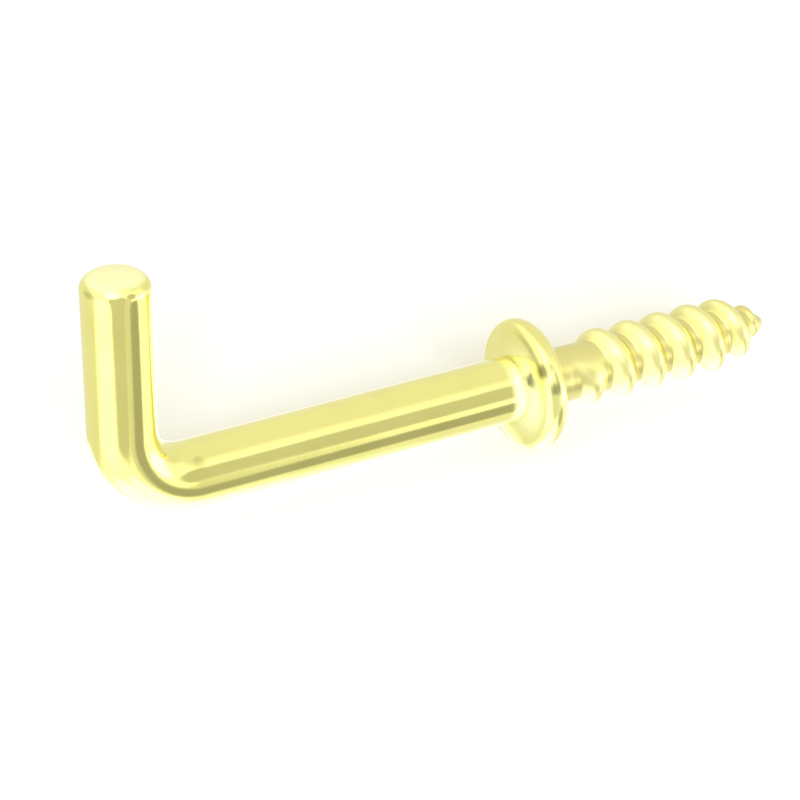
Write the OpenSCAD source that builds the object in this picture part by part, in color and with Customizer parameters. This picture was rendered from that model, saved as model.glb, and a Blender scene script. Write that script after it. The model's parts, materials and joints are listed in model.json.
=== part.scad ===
// Shouldered square screw hook: a round brass rod bent to a right angle, a thick pressed
// collar, and a coarse right-hand wood thread. Sizes are in millimetres.
//
// +Z runs up the arm and +Y runs along the shank into the wood. The origin is the centre of
// the collar's seating face, on the screw's axis.

/* [Rod] */
// Diameter of the rod
rod_d = 4.3; // [3.8:0.1:4.8]
// Distance from the arm's axis to the collar's seating face
reach = 29.6; // [24:0.2:40]
// Height of the arm's end above the shank's axis
arm_h = 14.8; // [12:0.1:22]
// Radius of the bend, measured to the rod's axis
bend_r = 4.4; // [3.2:0.1:6]
// Rounding of the edge of the arm's end
end_round = 1; // [0.3:0.1:1.4]

/* [Collar] */
// Diameter of the collar
collar_d = 8.9; // [7.6:0.1:10]
// Thickness of the collar
collar_t = 1.9; // [1.4:0.1:2.4]
// Rise of the domed side that faces the arm
crown = 0.15; // [0.1:0.05:0.5]
// Rounding of the two edges of the collar's rim
rim_round = 0.85; // [0.3:0.05:0.9]

/* [Screw] */
// Diameter of the plain neck that the collar is pressed over
neck_d = 3.8; // [3.2:0.1:4]
// Length of the plain neck behind the seating face
neck_l = 2; // [1:0.1:4]
// Length from the seating face to the point
screw_l = 18.2; // [15:0.2:26]
// Diameter across the thread's crests
crest_d = 4.9; // [4.4:0.1:5.4]
// Diameter at the bottom of the last full turn of the thread
root_d = 3.3; // [2.6:0.1:3.6]
// Advance of the thread in one turn
pitch = 2.45; // [2:0.05:3]
// Length of the tapered point
point_l = 3.8; // [2.5:0.1:5]

/* [Hidden] */

brass = [0.87, 0.80, 0.45];
pale_brass = [0.90, 0.85, 0.55];

round_fn = 96;        // every round face is a true one
overlap = 0.2;        // how far joined stretches of the rod run into each other
bore_chamfer = 0.15;  // breaks the edge of the collar's bore at the seating face

rod_r = rod_d / 2;
neck_r = min(neck_d, rod_d - 0.2) / 2;
crest_r = crest_d / 2;
root_r = root_d / 2;
collar_r = collar_d / 2;

// The collar's section: an arc that starts flat beside the rod and runs into the rim's edge
edge_r = min(rim_round, (collar_t - crown) / 2 - 0.02);
edge_out = collar_r - edge_r;
edge_h = crown + edge_r;
dome_r = (pow(edge_out - rod_r, 2) + pow(edge_h, 2) - pow(edge_r, 2)) / (2 * crown);
dome_end = rod_r + (edge_out - rod_r) * dome_r / (dome_r - edge_r);

// The screw is one closed surface. A strip of facets winds round the core, turn by turn, and
// a ring of points closes it at each end.
steps = 40;                 // steps of the strip in one turn
thread_start = neck_l - overlap;
start_angle = 5;            // where the thread leaves the neck, clockwise from the top
core_start_r = neck_r - 0.03;
core_end_r = 0.12;          // the core tapers down to this at the point
tip_l = 0.9;                // length of the bare tip past the thread
rise_steps = 0.5 * steps;   // the thread comes up to full height in these
fall_steps = 0.7 * steps;   // and dies away at the point in these

// The thread's section over one pitch: places along the pitch, and height from root to crest
section_at = [0, 0.13, 0.26, 0.42, 0.58, 0.71, 0.84];
section_height = [0, 0.37, 0.87, 1, 0.87, 0.37, 0];
ribs = len(section_at);

last_rib = ribs - 1;
last = floor(steps * ((screw_l - tip_l - thread_start) / pitch - section_at[last_rib]));
ring_y = thread_start + pitch * (last / steps + section_at[last_rib]);

function clamp(x, low, high) = min(high, max(low, x));
function mix(a, b, t) = a + (b - a) * t;

// 1 along the body of the screw, falling to 0 at the blunt point
function taper(y) = sqrt(clamp((screw_l - y) / point_l, 0, 1));

// Share of the way from the neck to where the point begins
function along(y) = clamp((y - thread_start) / (screw_l - point_l - thread_start), 0, 1);

function core_r(y) =
    mix(core_end_r, mix(core_start_r, root_r, along(y)), taper(y));
function crest_height(y, step) =
    mix(0.15, crest_r - mix(core_start_r, root_r, along(y)), taper(y))
    * clamp(step / rise_steps, 0, 1) * clamp((last - step) / fall_steps, 0, 1);

// A point beside the axis; angles turn clockwise from the top, seen from the hook's side
function around(r, y, angle) = [r * sin(angle), y, r * cos(angle)];

// Point of the strip at one step and one rib of the section
function strip_point(step, rib) =
    let (y = thread_start + pitch * (step / steps + section_at[rib]))
    around(
        core_r(y) + crest_height(y, step) * section_height[rib],
        y, start_angle + 360 * step / steps
    );

strip_points = [for (step = [0:last], rib = [0:last_rib]) strip_point(step, rib)];

// The rings leave out the point that they share with the strip
start_ring = [
    for (k = [1:steps - 1])
        around(core_r(thread_start), thread_start, start_angle + 360 * k / steps)
];
end_ring = [
    for (k = [1:steps - 1])
        around(core_r(ring_y), ring_y, start_angle + 360 * (last + k) / steps)
];
tip = [0, screw_l, 0];

// Numbers of the points in the whole list
function nr(step, rib) = step * ribs + rib;
function start_nr(k) = k % steps == 0 ? nr(0, 0) : len(strip_points) + k - 1;
function end_nr(k) =
    k % steps == 0 ? nr(last, last_rib) : len(strip_points) + len(start_ring) + k - 1;
tip_nr = len(strip_points) + len(start_ring) + len(end_ring);

// Two triangles, clockwise from outside, between step and step + 1 of two lines of points
function quad(a, b, b_next, a_next) = [[a, b, b_next], [a, b_next, a_next]];

strip_faces = [
    for (step = [0:last - 1], rib = [0:last_rib - 1])
        each quad(nr(step, rib), nr(step, rib + 1), nr(step + 1, rib + 1), nr(step + 1, rib))
];

// Root between one turn and the next
root_faces = [
    for (step = [0:last - steps - 1])
        each quad(
            nr(step, last_rib), nr(step + steps, 0),
            nr(step + steps + 1, 0), nr(step + 1, last_rib)
        )
];

// From the flat end inside the neck to the first turn
start_faces = concat(
    [[for (k = [0:steps - 1]) start_nr(k)]],
    [[nr(0, 0), nr(1, 0), start_nr(1)]],
    [
        for (k = [1:steps - 2])
            each quad(start_nr(k), nr(k, 0), nr(k + 1, 0), start_nr(k + 1))
    ],
    [[start_nr(steps - 1), nr(steps - 1, 0), nr(0, 0)]],
    [for (rib = [0:last_rib - 1]) [nr(0, rib), nr(steps - 1, 0), nr(0, rib + 1)]],
    [[nr(0, last_rib), nr(steps - 1, 0), nr(steps, 0)]]
);

// From the last turn to the tip
before_end = last - steps;
end_faces = concat(
    [[nr(before_end, last_rib), nr(last, 0), nr(before_end + 1, last_rib)]],
    [
        for (rib = [0:last_rib - 1])
            [nr(last, rib), nr(last, rib + 1), nr(before_end + 1, last_rib)]
    ],
    [[nr(last, last_rib), end_nr(1), nr(before_end + 1, last_rib)]],
    [
        for (k = [1:steps - 2])
            each quad(
                nr(before_end + k, last_rib), end_nr(k),
                end_nr(k + 1), nr(before_end + k + 1, last_rib)
            )
    ],
    [[nr(last - 1, last_rib), end_nr(steps - 1), nr(last, last_rib)]],
    [for (k = [0:steps - 1]) [end_nr(k), tip_nr, end_nr(k + 1)]]
);

// Turns a shape that stands along +Z to lie along +Y
module along_y() {
    rotate([-90, 0, 0]) children();
}

// Arm with its rounded end, standing on the end of the bend
module arm() {
    translate([0, -reach, bend_r])
        rotate_extrude($fn = round_fn)
            arm_outline(arm_h - bend_r);
}

// Half of the arm's section
module arm_outline(length) {
    square([rod_r, length - end_round]);
    square([rod_r - end_round, length]);
    translate([rod_r - end_round, length - end_round])
        intersection() {
            circle(r = end_round, $fn = round_fn);
            square(end_round);
        }
}

// Quarter turn from the arm down to the shank
module bend() {
    translate([0, bend_r - reach, bend_r])
        rotate([0, 90, 0])
            rotate([0, 0, -90])
                rotate_extrude(angle = 90, $fn = round_fn)
                    translate([bend_r, 0])
                        circle(d = rod_d, $fn = round_fn);
}

module shank() {
    translate([0, bend_r - reach, 0])
        along_y()
            cylinder(d = rod_d, h = reach - bend_r - collar_t, $fn = round_fn);
}

module neck() {
    translate([0, -collar_t - overlap, 0])
        along_y()
            cylinder(r = neck_r, h = collar_t + neck_l + overlap, $fn = round_fn);
}

module screw() {
    polyhedron(
        points = concat(strip_points, start_ring, end_ring, [tip]),
        faces = concat(strip_faces, root_faces, start_faces, end_faces),
        convexity = 10
    );
}

// The rod is one piece of metal from the arm's end to the point
module hook_rod() {
    color(brass) {
        arm();
        bend();
        shank();
        neck();
        screw();
    }
}

// Half of the collar's section without its bore: radius across, thickness up
module collar_outline() {
    dome_outline();
    translate([0, edge_h]) {
        square([edge_out, collar_t - edge_h]);
        square([collar_r, collar_t - edge_r - edge_h]);
    }
    for (y = [edge_h, collar_t - edge_r])
        translate([edge_out, y])
            circle(r = edge_r, $fn = round_fn);
}

// Flat middle that the rod's step sits on, and the arc out to the rim's edge
module dome_outline() {
    square([rod_r, edge_h]);
    translate([rod_r, 0])
        intersection() {
            translate([0, dome_r])
                circle(r = dome_r, $fn = round_fn);
            square([dome_end - rod_r, edge_h]);
        }
}

// Ring pressed over the neck, up to the step where the full rod begins
module collar() {
    color(pale_brass)
        translate([0, -collar_t, 0])
            along_y()
                difference() {
                    rotate_extrude($fn = round_fn)
                        collar_outline();
                    translate([0, 0, -overlap])
                        cylinder(r = neck_r, h = collar_t + 2 * overlap, $fn = round_fn);
                    translate([0, 0, collar_t - bore_chamfer])
                        cylinder(
                            r1 = neck_r, r2 = neck_r + 2 * bore_chamfer,
                            h = 2 * bore_chamfer, $fn = round_fn
                        );
                }
}

hook_rod();
collar();
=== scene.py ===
"""Shouldered square screw hook in polished brass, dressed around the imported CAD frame.

Everything is in metres, in the frame of the CAD model: +Z runs up the arm, +Y runs along the
shank into the wood, and the origin is the centre of the collar's seating face.
"""
import json
import math

import bmesh
import bpy
from mathutils import Matrix, Vector


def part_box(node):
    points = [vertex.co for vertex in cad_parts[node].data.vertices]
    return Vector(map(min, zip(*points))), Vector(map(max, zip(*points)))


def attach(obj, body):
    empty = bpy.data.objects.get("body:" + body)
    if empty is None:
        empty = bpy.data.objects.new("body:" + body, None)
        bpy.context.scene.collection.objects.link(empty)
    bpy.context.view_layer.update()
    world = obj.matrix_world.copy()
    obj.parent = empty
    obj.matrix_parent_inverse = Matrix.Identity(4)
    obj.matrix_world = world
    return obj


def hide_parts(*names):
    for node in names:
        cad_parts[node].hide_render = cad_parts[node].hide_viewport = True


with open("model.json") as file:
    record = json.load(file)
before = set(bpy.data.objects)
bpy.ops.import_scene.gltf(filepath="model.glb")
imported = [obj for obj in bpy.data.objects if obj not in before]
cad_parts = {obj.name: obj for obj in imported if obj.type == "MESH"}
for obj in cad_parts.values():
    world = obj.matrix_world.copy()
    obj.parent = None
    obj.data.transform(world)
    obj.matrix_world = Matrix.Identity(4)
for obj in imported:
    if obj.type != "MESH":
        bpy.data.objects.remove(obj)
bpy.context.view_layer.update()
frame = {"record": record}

MM = 0.001

# ---------------------------------------------------------------- sizes from the frame

ROD_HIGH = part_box("hook_rod")[1]
COLLAR_LOW, COLLAR_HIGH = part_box("collar")
ARM = {mount["name"]: mount for mount in frame["record"]["mounts"]}["arm"]

ROD_R = ARM["dims"]["r_mm"] * MM
ARM_Y = ARM["pos_m"][1]
ARM_HALF = ARM["dims"]["length_mm"] * MM / 2
BEND_R = ARM["pos_m"][2] - ARM_HALF            # the straight of the arm starts at the bend
ARM_TOP = ROD_HIGH[2]
END_ROUND = ARM_TOP - (ARM["pos_m"][2] + ARM_HALF)
COLLAR_R = COLLAR_HIGH[0]
COLLAR_FRONT = COLLAR_LOW[1]                   # the side that faces the arm
COLLAR_BACK = COLLAR_HIGH[1]                   # the seating face
TIP_Y = ROD_HIGH[1]
CREST_R = ROD_HIGH[0]

# ---------------------------------------------------------------- sizes the frame doesn't hold

CROWN = 0.15 * MM            # rise of the collar's domed side
RIM_ROUND = 0.85 * MM        # rounding of the collar's edges
BORE_CHAMFER = 0.15 * MM
END_DOME = 0.10 * MM         # rise of the cut face at the arm's end
BEND_WIDER = 0.01            # the bend's middle is wider by this share of the rod,
BEND_FLATTER = 0.03          # and flatter by this share in the plane of the bend

NECK_R = 1.9 * MM
NECK_END = 1.8 * MM          # where the thread starts to rise out of the neck
NECK_STEP = 0.03 * MM        # the thread's core starts this much inside the neck's surface
ROOT_R = 1.65 * MM           # bottom of the thread in its last full turn
PITCH = 2.45 * MM
POINT_L = 3.8 * MM           # length of the tapered point
BARE_TIP = 0.6 * MM          # length of the point past the end of the thread
TIP_CORE_R = 0.10 * MM       # the core tapers down to this radius at the point
TIP_THREAD = 0.15 * MM       # and the thread down to this height
START_TURN = 5 / 360         # where the thread leaves the neck, in turns clockwise from the top
RISE_TURNS = 0.5             # the thread comes up to its full height in these
FALL_LENGTH = 0.27 * PITCH   # and dies away before the bare tip over this length
CREST_PLACE = 0.42           # middle of the crest, as a share of the pitch
CREST_POWER = 2.2            # more makes a broader crest
FLANK_POWER = 1.6            # more makes a wider, softer root

# Steps of the meshes: round the rod, and along each of its stretches
SIDES = 96
ROUND_STEPS = 12
ARM_STEPS = 20
BEND_STEPS = 40
SHANK_STEPS = 50
SCREW_STEPS = 300

ALONG_SHANK = math.pi / 2    # the lean of a ring that is square to the shank


# ---------------------------------------------------------------- small helpers

def clamp(x, low=0.0, high=1.0):
    return min(high, max(low, x))


def mix(a, b, t):
    return a + (b - a) * t


def smooth(t):
    t = clamp(t)
    return t * t * (3 - 2 * t)


def ring_point(radius, y, degrees):
    """A point beside the shank's axis, turned clockwise from the top, seen from the arm."""
    turn = math.radians(degrees)
    return (radius * math.sin(turn), y, radius * math.cos(turn))


def sphere_point(azimuth, elevation):
    """The unit vector in a direction; azimuth turns from +X towards +Y."""
    return Vector((
        math.cos(azimuth) * math.cos(elevation),
        math.sin(azimuth) * math.cos(elevation),
        math.sin(elevation),
    ))


def new_object(name, bm):
    """A smooth-shaded object from a bmesh, with its normals outwards."""
    bmesh.ops.recalc_face_normals(bm, faces=bm.faces)
    mesh = bpy.data.meshes.new(name)
    bm.to_mesh(mesh)
    bm.free()
    for face in mesh.polygons:
        face.use_smooth = True
    piece = bpy.data.objects.new(name, mesh)
    bpy.context.scene.collection.objects.link(piece)
    return piece


def skin(bm, rings):
    """Faces between rings of points; the first and the last ring are single points."""
    made = [[bm.verts.new(point) for point in ring] for ring in rings]
    for low, high in zip(made, made[1:]):
        count = max(len(low), len(high))
        for k in range(count):
            after = (k + 1) % count
            corners = []
            for ring, places in ((low, (k, after)), (high, (after, k))):
                for place in places:
                    vert = ring[place % len(ring)]
                    if vert not in corners:
                        corners.append(vert)
            bm.faces.new(corners)


# ---------------------------------------------------------------- the rod

def rod_ring(y, z, lean, across, in_plane):
    """A ring square to the rod's path: lean is 0 on the arm and 90 degrees on the shank."""
    inwards = Vector((0, math.cos(lean), math.sin(lean)))   # to the inside of the bend
    ring = []
    for k in range(SIDES):
        turn = 2 * math.pi * k / SIDES
        ring.append(
            Vector((0, y, z))
            + Vector((across * math.sin(turn), 0, 0))
            + inwards * in_plane * math.cos(turn)
        )
    return ring


def arm_rings():
    """The arm from its end down to the bend: a barely domed face with a rounded edge."""
    face_r = ROD_R - END_ROUND
    rings = [[Vector((0, ARM_Y, ARM_TOP))]]
    for share in (0.15, 0.4, 0.65, 0.85, 1.0):
        r = face_r * share
        rings.append(rod_ring(ARM_Y, ARM_TOP - END_DOME * share ** 2, 0, r, r))
    for step in range(1, ROUND_STEPS + 1):
        turn = math.pi / 2 * step / ROUND_STEPS
        r = face_r + END_ROUND * math.sin(turn)
        drop = END_DOME + (END_ROUND - END_DOME) * (1 - math.cos(turn))
        rings.append(rod_ring(ARM_Y, ARM_TOP - drop, 0, r, r))
    for step in range(1, ARM_STEPS):
        z = mix(ARM_TOP - END_ROUND, BEND_R, step / ARM_STEPS)
        rings.append(rod_ring(ARM_Y, z, 0, ROD_R, ROD_R))
    return rings


def bend_rings():
    """The quarter turn. Bending flattens the rod a little in the plane of the bend."""
    rings = []
    for step in range(BEND_STEPS + 1):
        lean = ALONG_SHANK * step / BEND_STEPS
        squeeze = math.sin(2 * lean) ** 2
        y = ARM_Y + BEND_R * (1 - math.cos(lean))
        z = BEND_R * (1 - math.sin(lean))
        across = ROD_R * (1 + BEND_WIDER * squeeze)
        in_plane = ROD_R * (1 - BEND_FLATTER * squeeze)
        rings.append(rod_ring(y, z, lean, across, in_plane))
    return rings


def shank_rings():
    """The straight shank up to the collar, and the step down to the neck inside it."""
    rings = []
    for step in range(1, SHANK_STEPS + 1):
        y = mix(ARM_Y + BEND_R, COLLAR_FRONT, step / SHANK_STEPS)
        rings.append(rod_ring(y, 0, ALONG_SHANK, ROD_R, ROD_R))
    rings.append(rod_ring(COLLAR_FRONT, 0, ALONG_SHANK, NECK_R, NECK_R))
    return rings


def thread_profile(share):
    """Height of the thread over one pitch, 0 at the root and 1 at the broad, rounded crest."""
    place = abs(share - CREST_PLACE) / CREST_PLACE
    if place >= 1:
        return 0.0
    return (1 - place ** CREST_POWER) ** FLANK_POWER


def point_taper(y):
    """1 along the body of the screw, falling to 0 at the blunt point."""
    return math.sqrt(clamp((TIP_Y - y) / POINT_L))


def core_radius(y):
    share = clamp((y - NECK_END) / (TIP_Y - POINT_L - NECK_END))
    return mix(TIP_CORE_R, mix(NECK_R - NECK_STEP, ROOT_R, share), point_taper(y))


def screw_radius(y, turn):
    """Radius of the screw at y, turn being the share of a turn clockwise from where it starts."""
    along = (y - NECK_END) / PITCH - turn
    lap = math.floor(along)
    wound = lap + turn
    core = core_radius(y)
    if wound < 0:
        return core
    rise = smooth(wound / RISE_TURNS)
    fall = smooth((TIP_Y - BARE_TIP - y) / FALL_LENGTH)
    height = mix(TIP_THREAD, CREST_R - max(core, ROOT_R), point_taper(y))
    return core + height * rise * fall * thread_profile(along - lap)


def screw_rings():
    """The plain neck and the threaded end, down to the point."""
    rings = []
    for y in (COLLAR_BACK, NECK_END * 0.5, NECK_END * 0.9):
        rings.append(rod_ring(y, 0, ALONG_SHANK, NECK_R, NECK_R))
    for step in range(SCREW_STEPS):
        y = mix(NECK_END, TIP_Y, step / SCREW_STEPS)
        ring = []
        for k in range(SIDES):
            turn = k / SIDES
            r = screw_radius(y, (turn - START_TURN) % 1.0)
            ring.append(Vector(ring_point(r, y, 360 * turn)))
        rings.append(ring)
    rings.append([Vector((0, TIP_Y, 0))])
    return rings


def make_rod():
    bm = bmesh.new()
    skin(bm, arm_rings() + bend_rings() + shank_rings() + screw_rings())
    return new_object("brass_rod", bm)


# ---------------------------------------------------------------- the collar

def arc(centre_r, centre_y, radius, start, end, count=10):
    """Points of an arc in the collar's section, angles from straight out towards the wood."""
    points = []
    for step in range(count + 1):
        turn = math.radians(mix(start, end, step / count))
        points.append((centre_r + radius * math.cos(turn), centre_y + radius * math.sin(turn)))
    return points


def collar_section():
    """Half of the collar's section as (radius, y), once round from the bore."""
    out = COLLAR_R - RIM_ROUND
    edge_y = CROWN + RIM_ROUND                 # depth of the centre of the front edge's arc
    dome_r = ((out - ROD_R) ** 2 + edge_y ** 2 - RIM_ROUND ** 2) / (2 * CROWN)
    lean = math.degrees(math.asin((out - ROD_R) / (dome_r - RIM_ROUND)))
    points = [(NECK_R, COLLAR_FRONT)]
    points += arc(ROD_R, COLLAR_FRONT + dome_r, dome_r, -90, lean - 90, 16)
    points += arc(out, COLLAR_FRONT + edge_y, RIM_ROUND, lean - 90, 0)[1:]
    points += arc(out, COLLAR_BACK - RIM_ROUND, RIM_ROUND, 0, 90)
    points += [(NECK_R + BORE_CHAMFER, COLLAR_BACK), (NECK_R, COLLAR_BACK - BORE_CHAMFER)]
    return points


def make_collar():
    bm = bmesh.new()
    section = collar_section()
    rows = [
        [bm.verts.new(ring_point(r, y, 360 * k / SIDES)) for r, y in section]
        for k in range(SIDES)
    ]
    for k in range(SIDES):
        row, after = rows[k], rows[(k + 1) % SIDES]
        for j in range(len(section)):
            nxt = (j + 1) % len(section)
            bm.faces.new((row[j], row[nxt], after[nxt], after[j]))
    return new_object("brass_collar", bm)


# ---------------------------------------------------------------- shader nodes

class NodeKit:
    """Adds nodes to one tree. A value may be a constant or the output of another node."""

    # Places of the colour sockets among a Mix node's sockets
    MIX_FIRST, MIX_SECOND, MIX_RESULT = 6, 7, 2

    def __init__(self, tree):
        self.nodes, self.links = tree.nodes, tree.links

    def put(self, socket, value):
        if isinstance(value, bpy.types.NodeSocket):
            self.links.new(value, socket)
        else:
            socket.default_value = value

    def fill(self, node, inputs):
        """Give a node its inputs, by their names or their places."""
        for key, value in inputs.items():
            self.put(node.inputs[key], value)
        return node

    def coordinates(self, kind):
        return self.nodes.new("ShaderNodeTexCoord").outputs[kind]

    def axis(self, vector, name):
        node = self.fill(self.nodes.new("ShaderNodeSeparateXYZ"), {"Vector": vector})
        return node.outputs[name]

    def noise(self, vector, scale, detail, output="Fac"):
        node = self.nodes.new("ShaderNodeTexNoise")
        self.fill(node, {"Vector": vector, "Scale": scale, "Detail": detail})
        return node.outputs[output]

    def remap(self, value, low, high, to_low, to_high):
        """A soft step from 'to_low', where the value is 'low', to 'to_high' at 'high'."""
        node = self.nodes.new("ShaderNodeMapRange")
        node.interpolation_type = "SMOOTHSTEP"
        self.fill(node, {"Value": value, "From Min": low, "From Max": high,
                         "To Min": to_low, "To Max": to_high})
        return node.outputs["Result"]

    def maths(self, operation, first, second):
        node = self.nodes.new("ShaderNodeMath")
        node.operation = operation
        return self.fill(node, {0: first, 1: second}).outputs["Value"]

    def vector_maths(self, operation, output, *values):
        node = self.nodes.new("ShaderNodeVectorMath")
        node.operation = operation
        return self.fill(node, dict(enumerate(values))).outputs[output]

    def blend(self, factor, first, second):
        """Colour 'first' where the factor is 0, 'second' where it is 1."""
        node = self.nodes.new("ShaderNodeMix")
        node.data_type = "RGBA"
        self.fill(node, {"Factor": factor, self.MIX_FIRST: first, self.MIX_SECOND: second})
        return node.outputs[self.MIX_RESULT]

    def stretched(self, vector, scale):
        """The same coordinates squeezed or stretched along each axis."""
        node = self.nodes.new("ShaderNodeMapping")
        return self.fill(node, {"Vector": vector, "Scale": scale}).outputs["Vector"]

    def spot(self, vector, middle, size):
        """1 at a point of the surface, fading to 0 at 'size' from it."""
        reach = self.vector_maths("DISTANCE", "Value", vector, middle)
        return self.remap(reach, size * 0.2, size, 1, 0)


# ---------------------------------------------------------------- brass

# Noise scales, in features per metre
CLOUD_SCALE = 180
SPECK_SCALE = 2600
RAGGED_SCALE = 1500
RAGGED_REACH = 0.4 * MM      # how far a dark spot's edge wanders

DEEP_BRASS = (0.92, 0.86, 0.27, 1)
LIGHT_BRASS = (0.97, 0.91, 0.30, 1)
SPECK_COLOUR = (0.74, 0.63, 0.20, 1)
# colour of the dark spots and of the painted shade in the corner beside the collar
SHADE_AND_SPOT_COLOUR = (0.14, 0.125, 0.05, 1)

# Zones of the surface that have their own tint, with its strength and colour. The thread's root
# is darkened as painted shade, and the brass beside the collar is paled as a painted highlight
TINTS = (
    ("thread", 0.5, (0.86, 0.79, 0.36, 1)),
    # painted shade: the thread's root is darkened
    ("tarnish", 0.6, (0.68, 0.59, 0.17, 1)),
    # painted highlight: paler brass beside the collar, on its +X side
    ("pooled", 0.8, (0.96, 0.92, 0.50, 1)),
    ("cut", 0.7, (0.97, 0.93, 0.50, 1)),
)

# How much of the metal's mirror look is hidden in each zone: by milky lacquer on the thread and
# the cut end, and as part of the painted highlight beside the collar
MILKY_AND_GLARE = {"pooled": 0.65, "cut": 0.5, "thread": 0.1}

# Dark spots, each with its middle, size and strength: painted shade in the corner beside the
# collar, and dark spots on the collar's edge, on its rim, and where the bend ends
SHADE_AND_DARK_SPOTS = (
    # painted shade in the corner where the rod meets the collar
    (ring_point(ROD_R + 0.65 * MM, COLLAR_FRONT + 0.05 * MM, 54), 0.84 * MM, 0.99),
    (ring_point(COLLAR_R - 0.35 * MM, COLLAR_FRONT + 0.4 * MM, 50), 0.84 * MM, 0.80),
    (ring_point(COLLAR_R, COLLAR_FRONT + 0.8 * MM, 68), 0.60 * MM, 0.60),
    (ring_point(ROD_R, ARM_Y + BEND_R, 44), 0.56 * MM, 0.30),
)


def painted_glare_zone(kit, place, y, radius):
    """Where a pale highlight is painted: the corner between rod and collar, on its +X side."""
    near = kit.remap(y, COLLAR_FRONT - 1.3 * MM, COLLAR_FRONT - 0.6 * MM, 0, 1)
    beside = kit.spot(place, ring_point(ROD_R, COLLAR_FRONT, 76), 4.0 * MM)
    off_rim = kit.remap(radius, COLLAR_R - 1.3 * MM, COLLAR_R - 0.5 * MM, 1, 0.25)
    return kit.maths("MULTIPLY", kit.maths("MULTIPLY", near, beside), off_rim)


def zones(kit, place):
    """Parts of the surface by name, each 1 inside and 0 outside."""
    y = kit.axis(place, "Y")
    radius = kit.vector_maths("LENGTH", "Value", kit.stretched(place, (1, 0, 1)))
    thread = kit.remap(y, 0, 0.5 * MM, 0, 1)
    root = kit.remap(radius, ROOT_R + 0.1 * MM, CREST_R - 0.25 * MM, 1, 0)
    return {
        "thread": thread,
        # painted shade at the thread's root
        "tarnish": kit.maths("MULTIPLY", thread, root),
        # painted highlight beside the collar, kept off the thread
        "pooled": kit.maths("SUBTRACT", painted_glare_zone(kit, place, y, radius), thread),
        "cut": kit.remap(
            kit.axis(place, "Z"), ARM_TOP - 0.45 * MM, ARM_TOP - 0.1 * MM, 0, 1
        ),
    }


def tone(kit, place, zone, cloud, specks):
    """Colour of the brass: cloudy yellow with specks, then the tints, among them painted shade at
    the thread's root and a painted highlight beside the collar, then dark spots, the one in the
    corner beside the collar being painted shade.
    """
    colour = kit.blend(kit.remap(cloud, 0.35, 0.65, 0, 1), DEEP_BRASS, LIGHT_BRASS)
    colour = kit.blend(kit.remap(specks, 0.68, 0.76, 0, 0.25), colour, SPECK_COLOUR)
    for name, strength, tint in TINTS:
        colour = kit.blend(kit.maths("MULTIPLY", zone[name], strength), colour, tint)

    wander = kit.noise(place, RAGGED_SCALE, 1, "Color")
    wander = kit.vector_maths("SUBTRACT", "Vector", wander, (0.5, 0.5, 0.5))
    ragged = kit.vector_maths("MULTIPLY_ADD", "Vector", wander, (RAGGED_REACH,) * 3, place)
    # dark spots laid over the colour; the first, in the corner beside the collar, is painted
    # shade
    for middle, size, strength in SHADE_AND_DARK_SPOTS:
        dark_spot = kit.maths("MULTIPLY", kit.spot(ragged, middle, size), strength)
        colour = kit.blend(dark_spot, colour, SHADE_AND_SPOT_COLOUR)
    return colour


def metal_share(kit, zone):
    """1 where the lacquer is clear, less where it is milky on the thread and the cut end, and in
    the painted highlight beside the collar.
    """
    milky_and_glare = 0.0
    for name, strength in MILKY_AND_GLARE.items():
        milky_and_glare = kit.maths("MAXIMUM", milky_and_glare, kit.maths("MULTIPLY", zone[name], strength))
    return kit.maths("SUBTRACT", 1.0, milky_and_glare)


def dullness(kit, zone, cloud, scratch, roughness):
    """Roughness: uneven with the clouds, more along the polishing lines and on the thread."""
    dull = kit.remap(cloud, 0.3, 0.7, roughness * 0.8, roughness * 1.3)
    dull = kit.maths("ADD", dull, kit.remap(scratch, 0.55, 0.75, 0, 0.05))
    return kit.maths("ADD", dull, kit.maths("MULTIPLY", zone["thread"], 0.22))


def brass(name, roughness, lines):
    """Polished brass under clear lacquer.

    'lines' stretches the fine polishing lines along the axes that have the small numbers. The
    brass is paler and less metallic beside the collar, on its +X side, as a painted highlight,
    and the thread is duller than the turned and drawn parts, with painted shade darkening its
    root.
    """
    material = bpy.data.materials.new(name)
    material.use_nodes = True
    shader = material.node_tree.nodes["Principled BSDF"]
    kit = NodeKit(material.node_tree)
    place = kit.coordinates("Object")
    zone = zones(kit, place)
    cloud = kit.noise(place, CLOUD_SCALE, 3)
    specks = kit.noise(place, SPECK_SCALE, 2)
    scratch = kit.noise(kit.stretched(place, lines), 1, 3)

    bump = kit.nodes.new("ShaderNodeBump")
    kit.fill(bump, {"Strength": 0.12, "Distance": 0.02 * MM,
                    "Height": kit.maths("ADD", scratch, specks)})
    kit.fill(shader, {
        "Base Color": tone(kit, place, zone, cloud, specks),
        "Metallic": metal_share(kit, zone),
        "Roughness": dullness(kit, zone, cloud, scratch, roughness),
        "Normal": bump.outputs["Normal"],
        "Coat Weight": 0.3,
        "Coat Roughness": 0.04,
    })
    return material


# ---------------------------------------------------------------- stage and camera

FLOOR_SIZE = 2.0                             # wide enough to fill every view

VIEW_AZIMUTH = math.radians(60.07)           # from -Y towards +X
VIEW_ELEVATION = math.radians(29.0)
VIEW_ROLL = math.radians(0.86)
VIEW_AIM = Vector((0, -6.0 * ROD_R, ROD_R))
VIEW_DISTANCE = 77.71 * ROD_R
VIEW_RIGHT = 1.046 * ROD_R                   # the camera is moved to its right by this
VIEW_DOWN = 0.074 * ROD_R                    # and down by this, without turning it
LENS = 118.84                                # in mm, for the sensor below
SENSOR = 36


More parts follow.
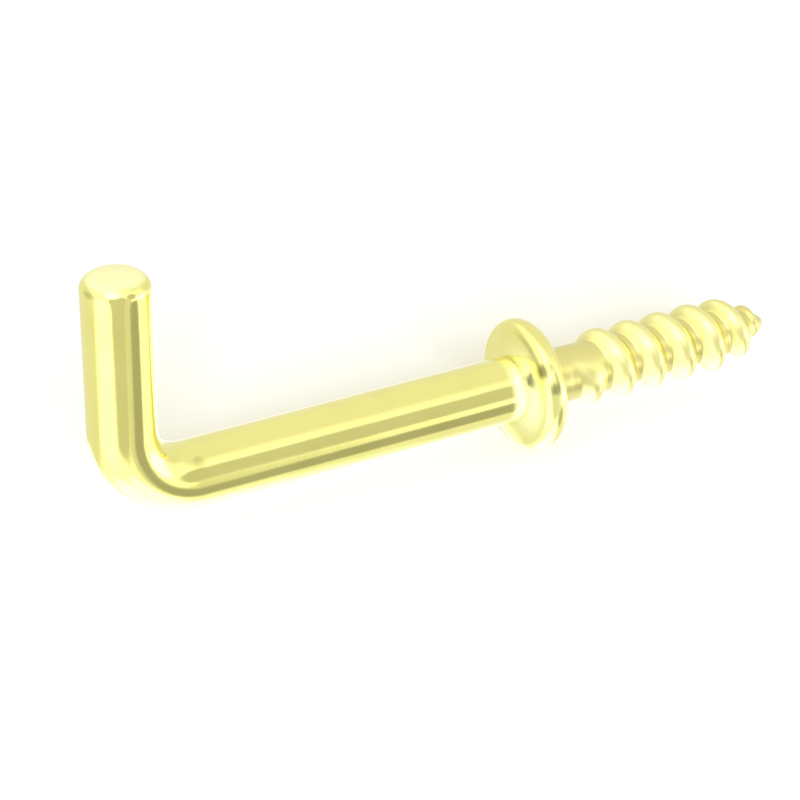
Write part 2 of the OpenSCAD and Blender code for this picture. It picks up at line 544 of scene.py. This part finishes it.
def make_floor():
    bm = bmesh.new()
    bmesh.ops.create_grid(bm, x_segments=1, y_segments=1, size=FLOOR_SIZE)
    floor = new_object("floor", bm)
    floor.location = (0, 0, -COLLAR_R)       # it touches the collar's rim
    floor.visible_glossy = False
    material = bpy.data.materials.new("pale_floor")
    material.use_nodes = True
    shader = material.node_tree.nodes["Principled BSDF"]
    shader.inputs["Base Color"].default_value = (0.9, 0.9, 0.9, 1)
    shader.inputs["Roughness"].default_value = 0.9
    shader.inputs["Specular IOR Level"].default_value = 0.0
    floor.data.materials.append(material)


def view_axes():
    """Unit vectors of the main view: towards the camera, to its right and up."""
    back = sphere_point(VIEW_AZIMUTH - math.pi / 2, VIEW_ELEVATION)
    level = Vector((0, 0, 1)).cross(back).normalized()
    upright = back.cross(level)
    right = level * math.cos(VIEW_ROLL) + upright * math.sin(VIEW_ROLL)
    return back, right, back.cross(right)


def make_camera():
    back, right, up = view_axes()
    data = bpy.data.cameras.new("camera")
    data.sensor_width = SENSOR
    data.lens = LENS
    data.clip_start = 0.01
    data.clip_end = 20
    camera = bpy.data.objects.new("camera", data)
    place = VIEW_AIM + back * VIEW_DISTANCE + right * VIEW_RIGHT - up * VIEW_DOWN
    turn = Matrix((right, up, back)).transposed().to_4x4()
    camera.matrix_world = Matrix.Translation(place) @ turn
    bpy.context.scene.collection.objects.link(camera)
    bpy.context.scene.camera = camera


# ---------------------------------------------------------------- studio and light

# What the brass sees round it: soft-edged patches of a white studio, each laid over the ones
# before it. Each has its middle as azimuth from +X towards +Y and elevation, its half width
# and half height, all in degrees, the softness of its edge, and its brightness.
PATCHES = {
    "far_left": (-140, -8, 60, 42, 0.15, 0.88),
    "back_wall": (130, 20, 56, 40, 0.2, 0.88),
    "overhead": (118, 64, 44, 27, 0.3, 0.90),
    "table_left": (170, -43, 28, 10, 0.2, 1.6),
    "front_left": (-64, -26, 25, 30, 0.35, 1.75),
    "ceiling_box": (-52, 66, 20, 12, 0.3, 2.0),
    "right_window": (62, -8, 20, 12, 0.25, 2.8),
    "camera_side": (-16, -4, 29, 35, 0.12, 0.70),
    "camera_box": (-36, 40, 22, 19, 0.3, 2.8),
    "right_screen": (28, 17, 15, 20, 0.2, 0.66),
    "gap": (15, -18, 11, 24, 0.3, 0.80),
    "far_edge": (82, -52, 36, 15, 0.3, 0.95),
    "black_flag": (36, -34.4, 14.5, 16.3, 0.25, 0.46),
    "left_corner": (-117, 2, 19, 16, 0.55, 0.62),
    "table_glare": (0, -60, 15, 13, 0.3, 2.5),
}
PATCH_DEPTH = 1.5            # half depth of a patch, in radii of the sphere of directions

# The rest of the studio: its light all round and straight below, and the heights on the same
# sphere between which the one runs into the other
STUDIO_LIGHT = 1.35
TABLE_LIGHT = 2.6
TABLE_FROM, TABLE_TO = -0.84, -0.95

FILL_COLOUR = (0.95, 0.90, 0.71, 1)          # light that falls on the floor from all round
KEY_PLACE = (1.35, -0.54, 0.50)
KEY_AIM = Vector((0, -0.01, 0))
KEY_COLOUR = (0.62, 0.76, 1.0)
KEY_POWER = 46
KEY_SIZE = 0.8


def patch(kit, view, under, place):
    """Lay one patch over the colour 'under' and return the new colour."""
    azimuth, elevation, half_width, half_height = (math.radians(x) for x in place[:4])
    softness, light = place[4:]
    middle = sphere_point(azimuth, elevation)
    level = Vector((0, 0, 1)).cross(middle).normalized()

    local = kit.nodes.new("ShaderNodeMapping")
    local.vector_type = "TEXTURE"
    kit.fill(local, {
        "Vector": view,
        "Location": middle,
        "Rotation": Matrix((level, middle.cross(level), middle)).transposed().to_euler(),
        "Scale": (math.sin(half_width), math.sin(half_height), PATCH_DEPTH),
    })
    off = kit.vector_maths("LENGTH", "Value", local.outputs["Vector"])
    inside = kit.remap(off, 1 + softness, 1 - softness, 0, 1)
    return kit.blend(inside, under, (light, light, light, 1))


def make_world():
    """A studio for the brass to reflect, and an even warm fill for the floor."""
    world = bpy.data.worlds.new("studio")
    bpy.context.scene.world = world
    world.use_nodes = True
    kit = NodeKit(world.node_tree)
    view = kit.coordinates("Generated")
    colour = kit.remap(kit.axis(view, "Z"), TABLE_FROM, TABLE_TO, STUDIO_LIGHT, TABLE_LIGHT)
    for place in PATCHES.values():
        colour = patch(kit, view, colour, place)
    mirrored = kit.nodes.new("ShaderNodeLightPath").outputs["Is Glossy Ray"]
    kit.fill(world.node_tree.nodes["Background"], {
        "Color": kit.blend(mirrored, FILL_COLOUR, colour),
        "Strength": 1.0,
    })


def make_lights():
    """One large soft key beside the camera, a little to its right. The brass doesn't mirror
    it. It lights the floor, with the hook's shadow on it, and the less metallic zones, among them
    the painted highlight beside the collar."""
    data = bpy.data.lights.new("key", "AREA")
    data.energy = KEY_POWER
    data.size = KEY_SIZE
    data.color = KEY_COLOUR
    key = bpy.data.objects.new("key", data)
    key.location = KEY_PLACE
    key.visible_glossy = False
    direction = KEY_AIM - Vector(KEY_PLACE)
    key.rotation_euler = direction.to_track_quat("-Z", "Y").to_euler()
    bpy.context.scene.collection.objects.link(key)


# ---------------------------------------------------------------- build

bpy.context.scene.view_settings.view_transform = "Standard"

rod = make_rod()
collar = make_collar()
for piece, node, slot in ((rod, "hook_rod", "rod"), (collar, "collar", "collar")):
    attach(piece, "root")
    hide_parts(node)
rod.data.materials.append(brass("rod_brass", 0.08, (9000, 400, 400)))
collar.data.materials.append(brass("collar_brass", 0.12, (900, 6000, 900)))

make_floor()
make_camera()
make_world()
make_lights()
